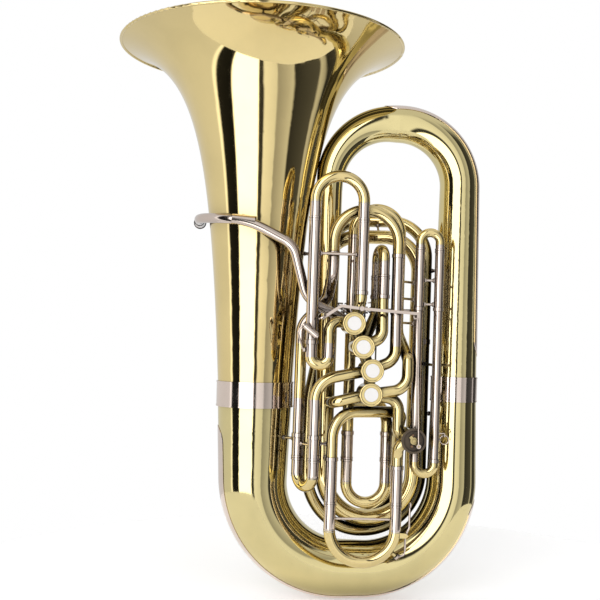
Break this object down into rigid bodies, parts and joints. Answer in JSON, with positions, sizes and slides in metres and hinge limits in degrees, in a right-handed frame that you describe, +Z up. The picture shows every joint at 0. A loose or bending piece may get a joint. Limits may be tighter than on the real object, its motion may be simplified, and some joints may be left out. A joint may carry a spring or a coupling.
{
  "type": "tuba",
  "caption": "Large upright brass wind instrument with a wide flared bell, coiled conical tubing, rotary valves worked by levers and linkages, and pull slides.",
  "frame": {"origin": "at the height of the bottom bow guard's lowest point, below the middle of the bow plane", "axes": "+Z up towards the bell, +Y towards the player, +X from the bell side to the top bow side"},
  "size_m": [0.6638, 0.508, 0.9795],
  "materials": {
    "lacquered_brass": "polished and lacquered",
    "nickel_silver": "polished nickel silver",
    "slide_metal": "brass crook on nickel silver legs, lacquered",
    "cap_metal": "brass rim round a polished nickel silver disc",
    "rotor_brass": "turned brass, unlacquered",
    "cork": "dark cork"
  },
  "bodies": {
    "body": {"bearing_plates": "nickel_silver", "bell": "lacquered_brass", "bottom_bow": "lacquered_brass", "bottom_bow_guard": "nickel_silver", "bow_ferrules": "nickel_silver", "braces": "nickel_silver", "fifth_valve_tubes": "lacquered_brass", "first_branch": "lacquered_brass", "first_valve_tubes": "lacquered_brass", "fourth_valve_tubes": "lacquered_brass", "inner_arch": "lacquered_brass", "inner_bottom_bow": "lacquered_brass", "key_and_ring_saddles": "nickel_silver", "leadpipe": "nickel_silver", "lever_rack": "nickel_silver", "main_valve_line": "lacquered_brass", "middle_bottom_bow": "lacquered_brass", "mouthpiece_receiver": "nickel_silver", "outer_arch": "lacquered_brass", "rear_bottom_bow": "lacquered_brass", "return_arch": "lacquered_brass", "second_valve_tubes": "lacquered_brass", "slide_outer_legs": "nickel_silver", "stop_corks": "cork", "third_valve_tubes": "lacquered_brass", "top_bow": "lacquered_brass", "top_bow_guard": "nickel_silver", "tube_ferrules": "nickel_silver", "valve_caps": "cap_metal", "valve_casing_1": "lacquered_brass", "valve_casing_2": "lacquered_brass", "valve_casing_3": "lacquered_brass", "valve_casing_4": "lacquered_brass", "valve_casing_5": "lacquered_brass", "valve_knuckles": "lacquered_brass"},
    "first_slide": {"first_slide": "slide_metal"},
    "second_slide": {"second_slide": "slide_metal"},
    "third_slide": {"third_slide": "slide_metal"},
    "fourth_slide": {"fourth_slide": "slide_metal"},
    "main_tuning_slide": {"main_tuning_slide": "slide_metal"},
    "fifth_slide": {"fifth_slide": "slide_metal"},
    "rotor_1": {"rotor_1": "rotor_brass"},
    "valve_link_1": {"valve_link_1": "nickel_silver"},
    "lever_1": {"lever_1": "nickel_silver"},
    "rotor_2": {"rotor_2": "rotor_brass"},
    "valve_link_2": {"valve_link_2": "nickel_silver"},
    "lever_2": {"lever_2": "nickel_silver"},
    "rotor_3": {"rotor_3": "rotor_brass"},
    "valve_link_3": {"valve_link_3": "nickel_silver"},
    "lever_3": {"lever_3": "nickel_silver"},
    "rotor_4": {"rotor_4": "rotor_brass"},
    "valve_link_4": {"valve_link_4": "nickel_silver"},
    "lever_4": {"lever_4": "nickel_silver"},
    "rotor_5": {"rotor_5": "rotor_brass"},
    "valve_link_5": {"valve_link_5": "nickel_silver"},
    "lever_5": {"lever_5": "nickel_silver"},
    "main_water_key": {"main_water_key": "nickel_silver"},
    "first_water_key": {"first_water_key": "nickel_silver"},
    "pull_ring": {"pull_ring": "nickel_silver"}
  },
  "joints": [
    {"name": "first_slide_pull", "type": "slide", "parent": "body", "child": "first_slide", "axis": [0, 0, 1], "range_m": [0, 0.045]},
    {"name": "second_slide_pull", "type": "slide", "parent": "body", "child": "second_slide", "axis": [0, 0, 1], "range_m": [0, 0.022]},
    {"name": "third_slide_pull", "type": "slide", "parent": "body", "child": "third_slide", "axis": [0, 0, -1], "range_m": [0, 0.03]},
    {"name": "fourth_slide_pull", "type": "slide", "parent": "body", "child": "fourth_slide", "axis": [0, 0, -1], "range_m": [0, 0.035]},
    {"name": "main_tuning_slide_pull", "type": "slide", "parent": "body", "child": "main_tuning_slide", "axis": [0, 0, -1], "range_m": [0, 0.05]},
    {"name": "fifth_slide_pull", "type": "slide", "parent": "body", "child": "fifth_slide", "axis": [0, 0, 1], "range_m": [0, 0.06]},
    {"name": "rotor_1_turn", "type": "hinge", "parent": "body", "child": "rotor_1", "pos_m": [-0.034, -0.098, 0.48481], "axis": [0, 1, 0], "range_deg": [0, 90], "stiffness_Nm_per_rad": 0.03, "springref_deg": -57.3},
    {"name": "valve_link_1_turn", "type": "hinge", "parent": "rotor_1", "child": "valve_link_1", "pos_m": [-0.04249, -0.068, 0.47632], "axis": [0, 1, 0], "range_deg": [-90, 0]},
    {"name": "lever_1_press", "type": "hinge", "parent": "body", "child": "lever_1", "pos_m": [0, 0, 0.51331], "axis": [-1, 0, 0], "range_deg": [0, 14.23]},
    {"name": "rotor_2_turn", "type": "hinge", "parent": "body", "child": "rotor_2", "pos_m": [-0.0175, -0.098, 0.44581], "axis": [0, -1, 0], "range_deg": [0, 90], "stiffness_Nm_per_rad": 0.03, "springref_deg": -57.3},
    {"name": "valve_link_2_turn", "type": "hinge", "parent": "rotor_2", "child": "valve_link_2", "pos_m": [-0.00902, -0.0665, 0.43733], "axis": [0, -1, 0], "range_deg": [-90, 0]},
    {"name": "lever_2_press", "type": "hinge", "parent": "body", "child": "lever_2", "pos_m": [0, 0, 0.51331], "axis": [-1, 0, 0], "range_deg": [0, 14.54]},
    {"name": "rotor_3_turn", "type": "hinge", "parent": "body", "child": "rotor_3", "pos_m": [-0.001, -0.098, 0.40681], "axis": [0, -1, 0], "range_deg": [0, 90], "stiffness_Nm_per_rad": 0.03, "springref_deg": -57.3},
    {"name": "valve_link_3_turn", "type": "hinge", "parent": "rotor_3", "child": "valve_link_3", "pos_m": [0.00607, -0.0505, 0.39974], "axis": [0, -1, 0], "range_deg": [-90, 0]},
    {"name": "lever_3_press", "type": "hinge", "parent": "body", "child": "lever_3", "pos_m": [0, 0, 0.51331], "axis": [-1, 0, 0], "range_deg": [0, 15.94]},
    {"name": "rotor_4_turn", "type": "hinge", "parent": "body", "child": "rotor_4", "pos_m": [-0.002, -0.098, 0.36681], "axis": [0, -1, 0], "range_deg": [0, 90], "stiffness_Nm_per_rad": 0.03, "springref_deg": -57.3},
    {"name": "valve_link_4_turn", "type": "hinge", "parent": "rotor_4", "child": "valve_link_4", "pos_m": [0.00649, -0.0505, 0.35833], "axis": [0, -1, 0], "range_deg": [-90, 0]},
    {"name": "lever_4_press", "type": "hinge", "parent": "body", "child": "lever_4", "pos_m": [0, 0, 0.51331], "axis": [-1, 0, 0], "range_deg": [0, 19.08]},
    {"name": "rotor_5_turn", "type": "hinge", "parent": "body", "child": "rotor_5", "pos_m": [0.072, -0.098, 0.29231], "axis": [0, -1, 0], "range_deg": [0, 90], "stiffness_Nm_per_rad": 0.03, "springref_deg": -57.3},
    {"name": "valve_link_5_turn", "type": "hinge", "parent": "rotor_5", "child": "valve_link_5", "pos_m": [0.07907, -0.131, 0.28388], "axis": [0, -1, 0], "range_deg": [-90, 0]},
    {"name": "lever_5_press", "type": "hinge", "parent": "body", "child": "lever_5", "pos_m": [-0.024, -0.135, 0.50931], "axis": [0, -1, 0], "range_deg": [0, 9.31]},
    {"name": "main_water_key_turn", "type": "hinge", "parent": "main_tuning_slide", "child": "main_water_key", "pos_m": [0.067, -0.1, 0.13131], "axis": [0, -1, 0], "range_deg": [0, 8], "stiffness_Nm_per_rad": 0.05, "springref_deg": -28.65},
    {"name": "first_water_key_turn", "type": "hinge", "parent": "body", "child": "first_water_key", "pos_m": [-0.1075, -0.135, 0.47031], "axis": [-0.7799, 0, 0.6259], "range_deg": [0, 10], "stiffness_Nm_per_rad": 0.05, "springref_deg": -28.65},
    {"name": "pull_ring_swing", "type": "hinge", "parent": "body", "child": "pull_ring", "pos_m": [0.131, -0.092, 0.29981], "axis": [1, 0, 0], "range_deg": [-25, 25]}
  ],
  "couplings": [
    {"joint": "valve_link_1_turn", "follows": "rotor_1_turn", "ratio": -1},
    {"joint": "lever_1_press", "follows": "rotor_1_turn", "ratio": 0.15806},
    {"joint": "valve_link_2_turn", "follows": "rotor_2_turn", "ratio": -1},
    {"joint": "lever_2_press", "follows": "rotor_2_turn", "ratio": 0.16159},
    {"joint": "valve_link_3_turn", "follows": "rotor_3_turn", "ratio": -1},
    {"joint": "lever_3_press", "follows": "rotor_3_turn", "ratio": 0.17713},
    {"joint": "valve_link_4_turn", "follows": "rotor_4_turn", "ratio": -1},
    {"joint": "lever_4_press", "follows": "rotor_4_turn", "ratio": 0.21196},
    {"joint": "valve_link_5_turn", "follows": "rotor_5_turn", "ratio": -1},
    {"joint": "lever_5_press", "follows": "rotor_5_turn", "ratio": 0.10342}
  ]
}
